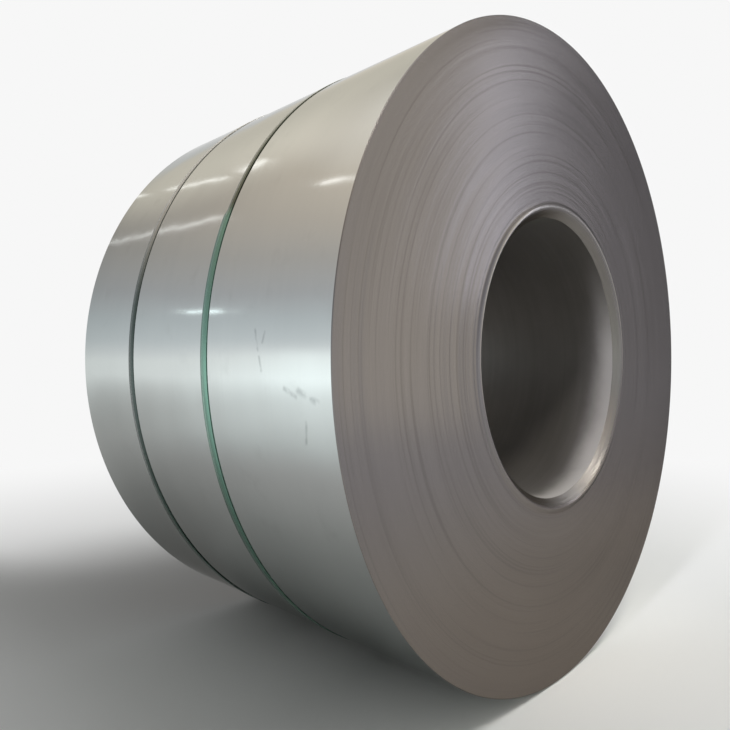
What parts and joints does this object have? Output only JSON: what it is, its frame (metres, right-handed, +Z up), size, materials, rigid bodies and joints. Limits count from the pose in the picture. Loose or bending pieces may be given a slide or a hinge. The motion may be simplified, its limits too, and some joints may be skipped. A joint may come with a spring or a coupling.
{
  "type": "steel coil",
  "caption": "Coil of bright steel strip lying on its side, with an open bore and two flat green straps round its body.",
  "frame": {"origin": "on the floor under the middle of the coil's whole length", "axes": "+Z up, the coil's axis along Y, its front end facing -Y"},
  "size_m": [1.4022, 0.868, 1.4023],
  "materials": {
    "bright_steel": "bright cold-rolled strip, satin, with fine concentric turns on the ends",
    "green_strap": "green plastic strapping",
    "dark_green_strap": "dull dark green plastic strapping"
  },
  "bodies": {
    "root": {"coil": "bright_steel", "strap_front": "green_strap", "strap_rear": "dark_green_strap"}
  },
  "joints": []
}
